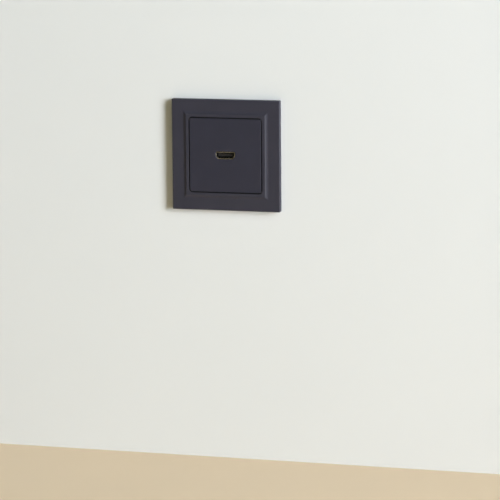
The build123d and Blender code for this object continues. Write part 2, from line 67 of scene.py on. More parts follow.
# Edges that turn by more than this stay sharp.
SHARP_ANGLE = math.radians(35)
# How far the painted shade in the joint reaches past both of its sides, and the depth over which it comes in.
JOINT_MARGIN = 0.2 * MM
SHADE_DEPTH = 0.25 * MM
# Half the width of the band of tracks on the board.
TRACKS_REACH = 6.5 * MM
# Share of a thread's pitch that its ridge takes up.
RIDGE_SHARE = 0.96
# Width of the cross recess in every screw, in millimetres.
CROSS_WIDTH = 0.7
# Half the width of the wall and of the floor, and the wall's height over the socket.
STAGE_REACH = 3.0
WALL_TOP = 2.0
# How far the wall's hole stays inside the frame's edge, how far its corners are cut off, and how far the
# backdrop lies behind the wall's face.
HOLE_MARGIN = 0.05 * MM
HOLE_CORNER = 0.4 * MM
WALL_SETBACK = 0.02 * MM
# Width of the camera's sensor in millimetres.
SENSOR_WIDTH = 36.0
SIDES = {"left": -1, "right": 1}
CORNERS = ((-1, -1), (1, -1), (1, 1), (-1, 1))


def colour(name, description, default):
    """A colour that a user may change."""
    return FloatVectorProperty(
        name=name, description=description, subtype="COLOR", min=0, max=1, default=default
    )


def length(name, description, default):
    """A length that a user may change, given in millimetres."""
    return FloatProperty(name=name, description=description, unit="LENGTH", precision=5, default=default * MM)


def angle(name, description, degrees):
    """An angle that a user may change, given in degrees."""
    return FloatProperty(name=name, description=description, subtype="ANGLE", default=math.radians(degrees))


def amount(name, description, default, unit="NONE"):
    """A strength or a power that a user may change."""
    return FloatProperty(name=name, description=description, unit=unit, default=default, min=0)


class SocketFinishes(bpy.types.PropertyGroup):
    """Colours and grain of the socket's materials."""

    frame: colour("Frame", "Matt plastic of the cover frame", (0.0315, 0.0300, 0.0475))
    plate: colour("Plate", "Matt plastic of the centre plate", (0.0235, 0.0230, 0.0410))
    insert: colour("Insert", "Plastic of the carrier plate, the housing and its cover", (0.40, 0.41, 0.42))
    insulator: colour("Insulator", "Plastic that carries the ports' contacts", (0.014, 0.014, 0.016))
    zinc: colour("Zinc", "Plating of the support ring, claws, screws and nuts", (0.62, 0.64, 0.67))
    nickel: colour("Nickel", "Plating of the ports' shells", (0.68, 0.65, 0.60))
    aluminium: colour("Aluminium", "Rivets through the insert", (0.75, 0.75, 0.76))
    gilt: colour("Gilt", "Contacts of both ports", (0.83, 0.58, 0.22))
    lacquer: colour("Lacquer", "Solder resist of the circuit board", (0.012, 0.12, 0.05))
    solder: colour("Solder", "Joints on the circuit board", (0.60, 0.61, 0.63))
    grain_size: length("Grain size", "Width of one cell of the mouldings' fine grain", 0.28)
    joint_width: length("Joint width", "Width of the joint between the plate and the frame", 0.8)
    # The joint's painted shade begins this far behind the plate's face, on each side of the joint.
    frame_joint: length(
        "Frame joint", "How far behind the plate's face the frame's side of the joint turns dirty", 0.12
    )
    plate_joint: length(
        "Plate joint", "How far behind the plate's face the plate's side of the joint turns dirty", 0.35
    )
    edge_radius: length("Edge radius", "How far moulded and plated edges are eased", 0.12)


class SocketDetails(bpy.types.PropertyGroup):
    """Sizes of the turned and threaded detail."""

    claw_pitch: length("Claw screw pitch", "Pitch of the claw screws' thread", 0.5)
    claw_thread_depth: length("Claw thread depth", "Depth of the claw screws' thread", 0.27)
    cover_pitch: length("Cover screw pitch", "Pitch of the cover screws' thread", 0.8)
    cover_thread_depth: length("Cover thread depth", "Depth of the cover screws' thread", 0.3)
    rivet_dome: length("Rivet dome", "How far a rivet's head domes over its rim", 0.45)
    mark_radius: length("Ejector mark radius", "Radius of the marks that ejector pins leave", 1.2)
    segments: IntProperty(name="Segments", description="Sides of a turned form", default=48, min=12, max=128)


class SocketStage(bpy.types.PropertyGroup):
    """Camera, backdrop and lights."""

    camera_place: FloatVectorProperty(
        name="Camera place",
        description="Where the camera stands",
        subtype="TRANSLATION",
        unit="LENGTH",
        default=(0.5361, -1.8438, 0.2556),
    )
    yaw: angle("Yaw", "How far the camera looks to the left", 15.725)
    pitch: angle("Pitch", "How far the camera looks down", 9.688)
    roll: angle("Roll", "How far the camera is tipped", 0.449)
    lens: FloatProperty(
        name="Lens", description="Focal length in millimetres", unit="CAMERA", default=187.2, min=1
    )
    wall: colour("Wall", "Plain backdrop behind the frame", (0.80, 0.80, 0.80))
    floor: colour("Floor", "Plain floor", (0.90, 0.72, 0.53))
    backdrop: colour("Backdrop", "What is seen past the wall and the floor", (0.70, 0.70, 0.69))
    floor_height: length("Floor height", "Height of the floor", -232)
    key: amount("Key", "Power of the key light", 84, "POWER")
    rear: amount("Rear", "Mean power of the lights behind the wall", 12, "POWER")
    fill: amount("Fill", "Strength of the light in front of the wall", 0.085)
    fill_tint: colour("Fill tint", "Colour of the light in front of the wall", (0.88, 1.0, 0.4))
    rear_fill: amount("Rear fill", "Strength of the light behind the wall", 0.24)
    key_tint: colour("Key tint", "Colour of the key light", (0.88, 0.943, 1.0))


def feed(tree, socket, value):
    """Links an input to another socket, or sets it to a value."""
    if isinstance(value, bpy.types.NodeSocket):
        tree.links.new(value, socket)
    else:
        socket.default_value = value


def node(tree, kind, inputs=None, **settings):
    """A new node with its settings, and its inputs linked to sockets or set to values."""
    made = tree.nodes.new(kind)
    for key, value in settings.items():
        setattr(made, key, value)
    for key, value in (inputs or {}).items():
        feed(tree, made.inputs[key], value)
    return made


def maths(tree, operation, *values, clamp=False):
    """The result of one Math node."""
    made = node(tree, "ShaderNodeMath", dict(enumerate(values)), operation=operation, use_clamp=clamp)
    return made.outputs[0]


def stretched(tree, value, start, end):
    """A value stretched so that it runs from 0 at one limit to 1 at the other."""
    return node(tree, "ShaderNodeMapRange", {0: value, 1: start, 2: end, 3: 0.0, 4: 1.0}).outputs[0]


def parts(tree, vector):
    """The X, Y and Z of a vector."""
    return node(tree, "ShaderNodeSeparateXYZ", {0: vector}).outputs


def new_group(name, kind, inputs, outputs):
    """A node group with named sockets, its input node and its output node."""
    tree = bpy.data.node_groups.new(name, kind)
    for label, socket, value in inputs:
        made = tree.interface.new_socket(label, in_out="INPUT", socket_type=socket)
        if value is not None:
            made.default_value = value
    for label, socket in outputs:
        tree.interface.new_socket(label, in_out="OUTPUT", socket_type=socket)
    return tree, tree.nodes.new("NodeGroupInput").outputs, tree.nodes.new("NodeGroupOutput").inputs


def use(tree, group, **inputs):
    """A group placed in a tree, with its own values; underscores in names stand for spaces."""
    made = tree.nodes.new("ShaderNodeGroup" if tree.bl_idname == "ShaderNodeTree" else "GeometryNodeGroup")
    made.node_tree = group
    for key, value in inputs.items():
        feed(tree, made.inputs[key.replace("_", " ")], value)
    return made.outputs


def once(make):
    """Makes a group or a material the first time it is asked for, and gives back the same one after that."""
    kept = {}

    def give(*args, **named):
        key = (args, tuple(named.items()))
        if key not in kept:
            kept[key] = make(*args, **named)
        return kept[key]

    give.__doc__ = make.__doc__
    return give


@once
def moulded_grain():
    """Fine grain of a moulding tool, with slow changes of tone and faint smudges from handling."""
    tree, ins, outs = new_group(
        "Moulded grain",
        "ShaderNodeTree",
        [
            ("Vector", "NodeSocketVector", None),
            ("Grain", "NodeSocketFloat", 4000),
            ("Tone", "NodeSocketFloat", 70),
        ],
        [("Height", "NodeSocketFloat"), ("Tone", "NodeSocketFloat"), ("Smudge", "NodeSocketFloat")],
    )
    fine = node(tree, "ShaderNodeTexNoise", {"Vector": ins["Vector"], "Scale": ins["Grain"], "Detail": 2.0})
    coarse = maths(tree, "MULTIPLY", ins["Grain"], 0.7)
    cells = node(tree, "ShaderNodeTexVoronoi", {"Vector": ins["Vector"], "Scale": coarse})
    pits = maths(tree, "MULTIPLY", cells.outputs[0], 0.6)
    tree.links.new(maths(tree, "ADD", fine.outputs[0], pits), outs["Height"])
    slow = node(tree, "ShaderNodeTexNoise", {"Vector": ins["Vector"], "Scale": ins["Tone"], "Detail": 4.0})
    tree.links.new(slow.outputs[0], outs["Tone"])
    broad = maths(tree, "MULTIPLY", ins["Tone"], 0.6)
    wide = node(
        tree,
        "ShaderNodeTexNoise",
        {"Vector": ins["Vector"], "Scale": broad, "Detail": 6.0, "Distortion": 1.5},
    )
    tree.links.new(stretched(tree, wide.outputs[0], 0.45, 0.75), outs["Smudge"])
    return tree


@once
def eased_edges():
    """A normal rounded over sharp edges, and a mask of those edges for wear and light."""
    tree, ins, outs = new_group(
        "Eased edges",
        "ShaderNodeTree",
        [("Radius", "NodeSocketFloat", 0.12 * MM)],
        [("Normal", "NodeSocketVector"), ("Edge", "NodeSocketFloat")],
    )
    eased = node(tree, "ShaderNodeBevel", {"Radius": ins["Radius"]}, samples=6).outputs[0]
    flat = tree.nodes.new("ShaderNodeNewGeometry").outputs["Normal"]
    along = node(tree, "ShaderNodeVectorMath", {0: eased, 1: flat}, operation="DOT_PRODUCT").outputs["Value"]
    tree.links.new(eased, outs["Normal"])
    tree.links.new(stretched(tree, along, 0.995, 0.85), outs["Edge"])
    return tree


@once
def painted_joint_shade():
    """A mask of the dark dirt that settles in the square joint between two flush mouldings."""
    tree, ins, outs = new_group(
        "Painted joint shade",
        "ShaderNodeTree",
        [
            ("Vector", "NodeSocketVector", None),
            ("Inside", "NodeSocketFloat", 0.0),
            ("Outside", "NodeSocketFloat", 0.0),
            ("Front", "NodeSocketFloat", 0.0),
        ],
        [("Shade", "NodeSocketFloat")],
    )
    at = parts(tree, ins["Vector"])
    reach = maths(tree, "MAXIMUM", maths(tree, "ABSOLUTE", at[0]), maths(tree, "ABSOLUTE", at[2]))
    between = maths(
        tree,
        "MULTIPLY",
        maths(tree, "GREATER_THAN", reach, ins["Inside"]),
        maths(tree, "LESS_THAN", reach, ins["Outside"]),
    )
    sunk = maths(tree, "MULTIPLY", maths(tree, "SUBTRACT", at[1], ins["Front"]), 1 / SHADE_DEPTH, clamp=True)
    tree.links.new(maths(tree, "MULTIPLY", between, sunk), outs["Shade"])
    return tree


@once
def plated_sheet():
    """Rolling lines, the cloudy bloom of a plating bath and small scratches on sheet metal."""
    tree, ins, outs = new_group(
        "Plated sheet",
        "ShaderNodeTree",
        [
            ("Vector", "NodeSocketVector", None),
            ("Lines", "NodeSocketFloat", 900),
            ("Bloom", "NodeSocketFloat", 160),
        ],
        [("Lines", "NodeSocketFloat"), ("Bloom", "NodeSocketFloat"), ("Scratch", "NodeSocketFloat")],
    )
    drawn = node(tree, "ShaderNodeMapping", {"Vector": ins["Vector"], "Scale": (1.0, 0.12, 0.06)}).outputs[0]
    lines = node(
        tree,
        "ShaderNodeTexNoise",
        {"Vector": drawn, "Scale": ins["Lines"], "Detail": 5.0, "Roughness": 0.65},
    )
    tree.links.new(stretched(tree, lines.outputs[0], 0.3, 0.7), outs["Lines"])
    bloom = node(
        tree,
        "ShaderNodeTexNoise",
        {"Vector": ins["Vector"], "Scale": ins["Bloom"], "Detail": 5.0, "Roughness": 0.6, "Distortion": 0.8},
    )
    tree.links.new(stretched(tree, bloom.outputs[0], 0.3, 0.7), outs["Bloom"])
    turned = node(
        tree,
        "ShaderNodeMapping",
        {"Vector": ins["Vector"], "Rotation": (0.3, 0.5, 0.7), "Scale": (1.0, 0.04, 1.0)},
    ).outputs[0]
    dense = maths(tree, "MULTIPLY", ins["Lines"], 2.0)
    fine = node(tree, "ShaderNodeTexNoise", {"Vector": turned, "Scale": dense})
    tree.links.new(stretched(tree, fine.outputs[0], 0.66, 0.78), outs["Scratch"])
    return tree


def blank(name):
    """A new material, its node tree, its shader and the piece's own coordinates."""
    material = bpy.data.materials.new(name)
    material.use_nodes = True
    tree = material.node_tree
    shader = next(n for n in tree.nodes if n.type == "BSDF_PRINCIPLED")
    return material, tree, shader, tree.nodes.new("ShaderNodeTexCoord").outputs["Object"]


def mixed(tree, factor, first, second):
    """Two colours, given as sockets or as plain tints, mixed by a factor."""
    inputs = {0: factor}
    for key, value in ((6, first), (7, second)):
        inputs[key] = value if isinstance(value, bpy.types.NodeSocket) else (*value, 1.0)
    return node(tree, "ShaderNodeMix", inputs, data_type="RGBA").outputs[2]


def ranged(tree, value, low, high):
    """A value from 0 to 1 spread between two limits."""
    return node(tree, "ShaderNodeMapRange", {0: value, 1: 0.0, 2: 1.0, 3: low, 4: high}).outputs[0]


def shaded(tint, share):
    """A colour made lighter or darker by a share."""
    return tuple(min(1.0, c * share) for c in tint)


def toned(tree, factor, tint, spread):
    """A colour that a value from 0 to 1 takes from darker to lighter, by a share to each side."""
    return mixed(tree, factor, shaded(tint, 1 - spread), shaded(tint, 1 + spread))


@once
def plastic(name, tint, roughness, relief, wear_and_highlight, joint=None):
    """A moulded plastic with fine grain, changes of tone, smudges, lighter edges and dirt in its joint."""
    finish = bpy.context.scene.socket_finishes
    material, tree, shader, place = blank(name)
    grain = use(tree, moulded_grain(), Vector=place, Grain=1 / finish.grain_size, Tone=70.0)
    edges = use(tree, eased_edges(), Radius=finish.edge_radius)
    # Edges are painted up to 2.2 times lighter: worn edges on most mouldings, a painted highlight on the
    # centre plate.
    rubbed_and_highlit = shaded(tint, 2.2)
    body = toned(tree, grain["Tone"], tint, spread=0.14)
    body = mixed(tree, maths(tree, "MULTIPLY", edges["Edge"], wear_and_highlight), body, rubbed_and_highlit)
    polish = maths(tree, "MULTIPLY", grain["Smudge"], -0.05)
    rough = maths(tree, "ADD", ranged(tree, grain["Tone"], roughness - 0.03, roughness + 0.03), polish)
    if joint is not None:
        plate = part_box("centre_plate")
        shade_mask = use(
            tree,
            painted_joint_shade(),
            Vector=place,
            Inside=plate[1].x - JOINT_MARGIN,
            Outside=plate[1].x + finish.joint_width + JOINT_MARGIN,
            Front=plate[0].y + joint,
        )["Shade"]
        # Painted shade: deeper in the joint its sides turn about eight times darker, and duller.
        painted_shade = shaded(tint, 0.12)
        body = mixed(tree, shade_mask, body, painted_shade)
        dullness = maths(tree, "MULTIPLY", shade_mask, 0.45)
        rough = maths(tree, "ADD", rough, dullness)
    tree.links.new(body, shader.inputs["Base Color"])
    tree.links.new(rough, shader.inputs["Roughness"])
    bump = node(
        tree,
        "ShaderNodeBump",
        {"Strength": relief, "Distance": 0.02 * MM, "Height": grain["Height"], "Normal": edges["Normal"]},
    )
    tree.links.new(bump.outputs[0], shader.inputs["Normal"])
    return material


@once
def plating(name, tint, cast, roughness, relief):
    """A plated metal with rolling lines, a bloom towards a second colour, scratches and bright edges."""
    finish = bpy.context.scene.socket_finishes
    material, tree, shader, place = blank(name)
    metal = use(tree, plated_sheet(), Vector=place, Lines=900.0, Bloom=160.0)
    edges = use(tree, eased_edges(), Radius=finish.edge_radius)
    cloudy, bright = shaded(tint, 0.84), shaded(tint, 1.25)
    body = mixed(tree, metal["Bloom"], cloudy, cast)
    # Edges are painted lighter as worn edges and as a painted highlight; scratches are painted lighter as
    # well.
    rubbed_and_highlit = maths(tree, "MULTIPLY", edges["Edge"], 0.6)
    scratched = maths(tree, "MULTIPLY", metal["Scratch"], 0.35)
    lit = maths(tree, "MAXIMUM", rubbed_and_highlit, scratched)
    tree.links.new(mixed(tree, lit, body, bright), shader.inputs["Base Color"])
    rough = ranged(tree, metal["Lines"], roughness - 0.08, roughness + 0.08)
    polish = maths(tree, "MULTIPLY", metal["Scratch"], 0.1)
    tree.links.new(maths(tree, "SUBTRACT", rough, polish), shader.inputs["Roughness"])
    shader.inputs["Metallic"].default_value = 1.0
    bump = node(
        tree,
        "ShaderNodeBump",
        {"Strength": relief, "Distance": 0.01 * MM, "Height": metal["Lines"], "Normal": edges["Normal"]},
    )
    tree.links.new(bump.outputs[0], shader.inputs["Normal"])
    return material


@once
def board_lacquer(name, tint):
    """Green solder resist over copper tracks, which show as lighter bands."""
    material, tree, shader, place = blank(name)
    tracks = node(
        tree,
        "ShaderNodeTexWave",
        {"Vector": place, "Scale": 160.0, "Distortion": 0.6, "Detail": 1.0},
        bands_direction="X",
    )
    inner = maths(tree, "LESS_THAN", maths(tree, "ABSOLUTE", parts(tree, place)[0]), TRACKS_REACH)
    band = maths(tree, "MULTIPLY", stretched(tree, tracks.outputs[1], 0.55, 0.62), inner)
    grain = use(tree, moulded_grain(), Vector=place, Grain=2500.0, Tone=120.0)
    body = toned(tree, grain["Tone"], tint, spread=0.15)
    over_copper = shaded(tint, 1.9)
    tree.links.new(mixed(tree, band, body, over_copper), shader.inputs["Base Color"])
    tree.links.new(ranged(tree, grain["Smudge"], 0.22, 0.34), shader.inputs["Roughness"])
    bump = node(tree, "ShaderNodeBump", {"Strength": 0.4, "Distance": 0.03 * MM, "Height": band})
    tree.links.new(bump.outputs[0], shader.inputs["Normal"])
    return material


@once
def plain_paint(name, tint):
    """A pale one-sided backdrop paint: from behind it lets everything through."""
    material, tree, shader, place = blank(name)
    grain = use(tree, moulded_grain(), Vector=place, Grain=900.0, Tone=6.0)
    tree.links.new(toned(tree, grain["Tone"], tint, spread=0.015), shader.inputs["Base Color"])
    shader.inputs["Roughness"].default_value = 0.9
    shader.inputs["Specular IOR Level"].default_value = 0.1
    behind = tree.nodes.new("ShaderNodeNewGeometry").outputs["Backfacing"]
    clear = tree.nodes.new("ShaderNodeBsdfTransparent").outputs[0]
    mix = node(tree, "ShaderNodeMixShader", {0: behind, 1: shader.outputs[0], 2: clear})
    target = next(n for n in tree.nodes if n.type == "OUTPUT_MATERIAL")
    tree.links.new(mix.outputs[0], target.inputs["Surface"])
    return material


def frame_anthracite():
    """Matt dark plastic of the cover frame."""
    finish = bpy.context.scene.socket_finishes
    tint, joint = tuple(finish.frame), finish.frame_joint
    return plastic("anthracite_frame", tint, roughness=0.57, relief=0.22, wear_and_highlight=0.1, joint=joint)


def plate_anthracite():
    """Matt dark plastic of the centre plate, a shade deeper."""
    finish = bpy.context.scene.socket_finishes
    tint, joint = tuple(finish.plate), finish.plate_joint
    # The plate's edges take the full lightening: a painted highlight along all of its edges.
    return plastic("anthracite_plate", tint, roughness=0.57, relief=0.22, wear_and_highlight=1.0, joint=joint)


def insert_grey():
    """Grey plastic of the insert."""
    tint = tuple(bpy.context.scene.socket_finishes.insert)
    return plastic("grey_plastic", tint, roughness=0.46, relief=0.30, wear_and_highlight=0.12)


def insulator_black():
    """Black plastic in the ports."""
    tint = tuple(bpy.context.scene.socket_finishes.insulator)
    return plastic("black_plastic", tint, roughness=0.42, relief=0.15, wear_and_highlight=0.2)


def zinc():
    """Bright zinc with a faint blue and straw passivation."""
    tint = tuple(bpy.context.scene.socket_finishes.zinc)
    return plating("zinc_plated_steel", tint, cast=(0.66, 0.65, 0.58), roughness=0.34, relief=0.25)


def nickel():
    """Bright nickel of the ports' shells."""
    tint = tuple(bpy.context.scene.socket_finishes.nickel)
    return plating("nickel_plated_steel", tint, cast=(0.74, 0.71, 0.66), roughness=0.24, relief=0.15)


def aluminium():
    """Bright rivet aluminium."""
    tint = tuple(bpy.context.scene.socket_finishes.aluminium)
    return plating("aluminium", tint, cast=(0.80, 0.80, 0.80), roughness=0.30, relief=0.2)


def gilt():
    """Gold-plated contacts."""
    tint = tuple(bpy.context.scene.socket_finishes.gilt)
    return plating("gilt_contacts", tint, cast=(0.90, 0.66, 0.28), roughness=0.22, relief=0.1)


def solder():
    """Bright solder."""
    tint = tuple(bpy.context.scene.socket_finishes.solder)
    return plating("solder", tint, cast=(0.66, 0.66, 0.67), roughness=0.28, relief=0.1)


def coat(material, *names):
    """Gives packed nodes a material."""
    for name in names:
        slots = frame["nodes"][name].data.materials
        slots.clear()
        slots.append(material)


def unit_grid(tree, columns, rows):
    """A flat grid, and how far each of its points lies along X and along Y, from 0 to 1."""
    sizes = {"Size X": 1.0, "Size Y": 1.0, "Vertices X": columns, "Vertices Y": rows}
    grid = node(tree, "GeometryNodeMeshGrid", sizes).outputs[0]
    at = parts(tree, tree.nodes.new("GeometryNodeInputPosition").outputs[0])
    return grid, maths(tree, "ADD", at[0], 0.5), maths(tree, "ADD", at[1], 0.5)


def wrapped(tree, grid, radius, turn, height):
    """A grid with its points at a radius, an angle and a height about the Z axis, merged where they meet."""
    round_axis = {
        0: maths(tree, "MULTIPLY", radius, maths(tree, "COSINE", turn)),
        1: maths(tree, "MULTIPLY", radius, maths(tree, "SINE", turn)),
        2: height,
    }
    place = node(tree, "ShaderNodeCombineXYZ", round_axis).outputs[0]
    shaped = node(tree, "GeometryNodeSetPosition", {"Geometry": grid, "Position": place}).outputs[0]
    ends = {"Geometry": shaped, "Distance": MERGE_REACH}
    return node(tree, "GeometryNodeMergeByDistance", ends).outputs[0]


@once
def turned_form():
    """A node group that turns a profile, radius along X and height along Y, about the Z axis."""
    tree, ins, outs = new_group(
        "Turned form",
        "GeometryNodeTree",
        [("Profile", "NodeSocketGeometry", None), ("Segments", "NodeSocketInt", 48)],
        [("Mesh", "NodeSocketGeometry")],
    )
    count = node(tree, "GeometryNodeAttributeDomainSize", {0: ins["Profile"]}).outputs["Point Count"]
    grid, across, along = unit_grid(tree, maths(tree, "ADD", ins["Segments"], 1.0), count)
    turn = maths(tree, "MULTIPLY", across, math.tau)
    row = maths(tree, "MULTIPLY", along, maths(tree, "SUBTRACT", count, 1.0))
    read = node(
        tree,
        "GeometryNodeSampleIndex",
        {
            "Geometry": ins["Profile"],
            "Value": tree.nodes.new("GeometryNodeInputPosition").outputs[0],
            "Index": maths(tree, "ROUND", row),
        },
        data_type="FLOAT_VECTOR",
        domain="POINT",
    ).outputs[0]
    profile = parts(tree, read)
    tree.links.new(wrapped(tree, grid, profile[0], turn, profile[1]), outs["Mesh"])
    return tree


@once
def thread_ridge():
    """A node group for a right-hand thread: one ridge of triangular section that runs out at both ends."""
    tree, ins, outs = new_group(
        "Thread ridge",
        "GeometryNodeTree",
        [
            ("Start", "NodeSocketFloat", 0.0),
            ("End", "NodeSocketFloat", 0.01),
            ("Pitch", "NodeSocketFloat", 0.0005),
            ("Root Radius", "NodeSocketFloat", 0.0012),
            ("Crest Radius", "NodeSocketFloat", 0.0015),
            ("Segments", "NodeSocketInt", 24),
        ],
        [("Mesh", "NodeSocketGeometry")],
    )
    run = maths(tree, "SUBTRACT", ins["End"], ins["Start"])
    turns = maths(tree, "DIVIDE", run, ins["Pitch"])
    # The section's rows of points: its near foot, its crest, its far foot and the near foot again.
    grid, along, round_section = unit_grid(tree, maths(tree, "MULTIPLY", turns, ins["Segments"]), 4)
    column = maths(tree, "ROUND", maths(tree, "MULTIPLY", round_section, 3.0))
    flank = maths(tree, "SUBTRACT", maths(tree, "FLOORED_MODULO", column, 3.0), 1.0)
    crest = maths(tree, "SUBTRACT", 1.0, maths(tree, "ABSOLUTE", flank))
    first = maths(tree, "MULTIPLY", along, turns, clamp=True)
    last = maths(tree, "MULTIPLY", maths(tree, "SUBTRACT", 1.0, along), turns, clamp=True)
    full = maths(tree, "MULTIPLY", first, last)
    reach = maths(tree, "SUBTRACT", ins["Crest Radius"], ins["Root Radius"])
    rise = maths(tree, "MULTIPLY", maths(tree, "MULTIPLY", reach, crest), full)
    radius = maths(tree, "ADD", ins["Root Radius"], rise)
    turn = maths(tree, "MULTIPLY", maths(tree, "MULTIPLY", along, turns), math.tau)
    half = maths(tree, "MULTIPLY", ins["Pitch"], RIDGE_SHARE / 2)
    spread = maths(tree, "MULTIPLY", maths(tree, "MULTIPLY", flank, full), half)
    middle = maths(tree, "ADD", ins["Start"], maths(tree, "MULTIPLY", run, along))
    height = maths(tree, "ADD", middle, spread)
    tree.links.new(wrapped(tree, grid, radius, turn, height), outs["Mesh"])
    return tree


def set_out(tree, form, ins, outs):
    """Stands a form on every place, out from the wall, as one plain mesh with its material."""
    points = node(tree, "GeometryNodeObjectInfo", {"Object": ins["Places"]}, transform_space="ORIGINAL")
    quarter_turn = (math.pi / 2, 0.0, 0.0)
    facing_out = node(tree, "GeometryNodeTransform", {"Geometry": form, "Rotation": quarter_turn}).outputs[0]
    many = node(
        tree, "GeometryNodeInstanceOnPoints", {"Points": points.outputs["Geometry"], "Instance": facing_out}
    ).outputs[0]
    real = tree.nodes.new("GeometryNodeRealizeInstances")
    tree.links.new(many, real.inputs[0])
    paint = {"Geometry": real.outputs[0], "Material": ins["Material"]}
    tree.links.new(node(tree, "GeometryNodeSetMaterial", paint).outputs[0], outs["Geometry"])


@once
def turned_pieces():
    """A node tree that stands one turned profile on every place."""
    tree, ins, outs = new_group(
        "Turned pieces",
        "GeometryNodeTree",
        [
            ("Geometry", "NodeSocketGeometry", None),
            ("Places", "NodeSocketObject", None),
            ("Segments", "NodeSocketInt", 48),
            ("Material", "NodeSocketMaterial", None),
        ],
        [("Geometry", "NodeSocketGeometry")],
    )
    form = use(tree, turned_form(), Profile=ins["Geometry"], Segments=ins["Segments"])[0]
    set_out(tree, form, ins, outs)
    return tree


@once
def threaded_screws():
    """A node tree that stands a screw on every place: a turned core, a thread and a cross recess."""
    tree, ins, outs = new_group(
        "Threaded screws",
        "GeometryNodeTree",
        [
            ("Geometry", "NodeSocketGeometry", None),
            ("Places", "NodeSocketObject", None),
            ("Segments", "NodeSocketInt", 48),
            ("Thread Start", "NodeSocketFloat", 0.0),
            ("Thread End", "NodeSocketFloat", 0.01),
            ("Pitch", "NodeSocketFloat", 0.0005),
            ("Root Radius", "NodeSocketFloat", 0.0012),
            ("Crest Radius", "NodeSocketFloat", 0.0015),
            ("Recess Face", "NodeSocketFloat", 0.0),
            ("Recess Depth", "NodeSocketFloat", 0.001),
            ("Recess Reach", "NodeSocketFloat", 0.003),
            ("Recess Width", "NodeSocketFloat", 0.0007),
            ("Material", "NodeSocketMaterial", None),
        ],
        [("Geometry", "NodeSocketGeometry")],
    )
    core = use(tree, turned_form(), Profile=ins["Geometry"], Segments=ins["Segments"])[0]
    carve = node(tree, "GeometryNodeMeshBoolean", operation="DIFFERENCE", solver="MANIFOLD")
    tree.links.new(core, carve.inputs["Mesh 1"])
    lift = node(tree, "ShaderNodeCombineXYZ", {2: ins["Recess Face"]}).outputs[0]
    # Half of each bar stands out of the face.
    bar_height = maths(tree, "MULTIPLY", ins["Recess Depth"], 2.0)
    for wide, tall in (("Recess Reach", "Recess Width"), ("Recess Width", "Recess Reach")):
        sides = {0: ins[wide], 1: ins[tall], 2: bar_height}
        size = node(tree, "ShaderNodeCombineXYZ", sides).outputs[0]
        bar = node(tree, "GeometryNodeMeshCube", {"Size": size}).outputs[0]
        bar = node(tree, "GeometryNodeTransform", {"Geometry": bar, "Translation": lift}).outputs[0]
        tree.links.new(bar, carve.inputs["Mesh 2"])
    ridge = use(
        tree,
        thread_ridge(),
        Start=ins["Thread Start"],
        End=ins["Thread End"],
        Pitch=ins["Pitch"],
        Root_Radius=ins["Root Radius"],
        Crest_Radius=ins["Crest Radius"],
    )[0]
    whole = tree.nodes.new("GeometryNodeJoinGeometry")
    tree.links.new(carve.outputs[0], whole.inputs[0])
    tree.links.new(ridge, whole.inputs[0])
    set_out(tree, whole.outputs[0], ins, outs)
    return tree


def grown(name, tree, profile, places, values):
    """A plain mesh piece that a node tree makes from a profile in millimetres and the places it stands on."""
    points = [(r * MM, h * MM, 0.0) for r, h in profile]
    seed = bpy.data.meshes.new(name)
    seed.from_pydata(points, [(i, i + 1) for i in range(len(points) - 1)], [])
    stand = bpy.data.meshes.new(name + "_places")
    stand.from_pydata([Vector(p) for p in places], [], [])
    stands = bpy.data.objects.new(name + "_places", stand)
    piece = bpy.data.objects.new(name, seed)
    for made in (stands, piece):
        bpy.context.scene.collection.objects.link(made)
    modifier = piece.modifiers.new(name, "NODES")
    modifier.node_group = tree
    sockets = {s.name: s.identifier for s in tree.interface.items_tree if s.in_out == "INPUT"}
    for label, value in {"Places": stands, **values}.items():
        modifier[sockets[label]] = value
    graph = bpy.context.evaluated_depsgraph_get()
    mesh = bpy.data.meshes.new_from_object(piece.evaluated_get(graph), depsgraph=graph)
    piece.modifiers.remove(modifier)
    piece.data = mesh
    bpy.data.objects.remove(stands)
    if not mesh.polygons:
        raise RuntimeError(f"{name} came out empty")
    closed = bmesh.new()
    closed.from_mesh(mesh)
    bmesh.ops.dissolve_degenerate(closed, dist=MICRON, edges=closed.edges)
    bmesh.ops.recalc_face_normals(closed, faces=closed.faces)
    closed.to_mesh(mesh)
    closed.free()
    mesh.shade_smooth()
    mesh.set_sharp_from_angle(angle=SHARP_ANGLE)
    return piece


def arc(centre, radius, start, end, steps=6):
    """Points of an arc in a profile, in millimetres and degrees."""
    angles = [math.radians(start + (end - start) * i / steps) for i in range(steps + 1)]
    return [(centre[0] + radius * math.cos(a), centre[1] + radius * math.sin(a)) for a in angles]


def out_of_wall(name):
    """How far a packed node reaches into the wall and out of it, in millimetres out from the wall."""
    low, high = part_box(name)
    return -high.y / MM, -low.y / MM


class SOCKET_OT_mouldings(bpy.types.Operator):
    """Finish the cover frame and the centre plate in matt dark plastic"""

    bl_idname = "wall_socket.mouldings"
    bl_label = "Mouldings"

    def execute(self, context):
        coat(frame_anthracite(), "cover_frame")
        coat(plate_anthracite(), "centre_plate")
        return {"FINISHED"}


class SOCKET_OT_insert(bpy.types.Operator):
    """Finish the carrier plate, the base housing and the back cover in grey plastic"""

    bl_idname = "wall_socket.insert"
    bl_label = "Insert"

    def execute(self, context):
        coat(insert_grey(), "carrier_plate", "base_housing", "back_cover")
        return {"FINISHED"}


